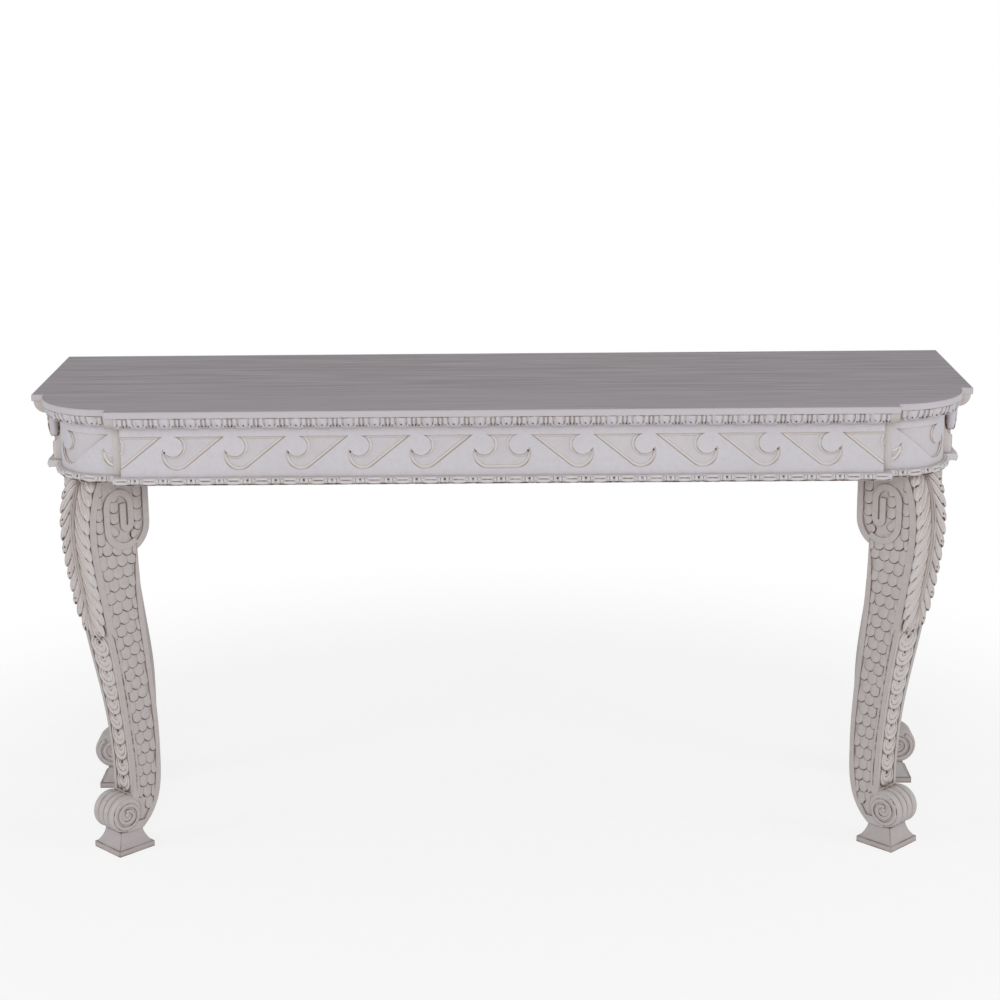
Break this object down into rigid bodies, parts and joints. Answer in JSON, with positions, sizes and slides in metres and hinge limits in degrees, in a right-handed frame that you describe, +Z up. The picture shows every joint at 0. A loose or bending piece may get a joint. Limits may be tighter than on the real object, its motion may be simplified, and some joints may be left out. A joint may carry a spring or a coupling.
{
  "type": "pier table",
  "caption": "Pier table with a stepped, round-cornered top, an apron with a sunk wave scroll, and scroll legs with leaf knees; stands against a wall to carry things.",
  "frame": {"origin": "on the floor, under the middle of the top", "axes": "+X along the length to the right as seen from the front, +Y towards the wall, +Z up"},
  "size_m": [1.7388, 0.522, 0.882],
  "materials": {
    "white_paint": "white paint over carved wood, brown antiquing in the hollows",
    "grey_paint": "grey paint brushed along the length, satin",
    "bare_wood": "planed, unpainted",
    "steel": "plain steel"
  },
  "bodies": {
    "root": {"back_leaf_left": "white_paint", "back_leaf_right": "white_paint", "back_leg_block_left": "bare_wood", "back_leg_block_right": "bare_wood", "back_leg_left": "white_paint", "back_leg_right": "white_paint", "back_plinth_left": "white_paint", "back_plinth_right": "white_paint", "back_rail": "bare_wood", "bead_corner_left": "white_paint", "bead_corner_right": "white_paint", "bead_front": "white_paint", "bead_side_left": "white_paint", "bead_side_right": "white_paint", "bearer_left": "bare_wood", "bearer_middle": "bare_wood", "bearer_right": "bare_wood", "cornice_corner_left": "white_paint", "cornice_corner_right": "white_paint", "cornice_front": "white_paint", "cornice_side_left": "white_paint", "cornice_side_right": "white_paint", "end_boss_left": "white_paint", "end_boss_right": "white_paint", "foot_dowels": "bare_wood", "frieze_corner_left": "white_paint", "frieze_corner_right": "white_paint", "frieze_front": "white_paint", "frieze_side_left": "white_paint", "frieze_side_right": "white_paint", "front_leaf_left": "white_paint", "front_leaf_right": "white_paint", "front_leg_block_left": "bare_wood", "front_leg_block_right": "bare_wood", "front_leg_left": "white_paint", "front_leg_right": "white_paint", "front_plinth_left": "white_paint", "front_plinth_right": "white_paint", "lap_screws": "steel", "leg_bolts": "steel", "rail_dowels": "bare_wood", "top_board": "grey_paint", "top_screws": "steel"}
  },
  "joints": []
}
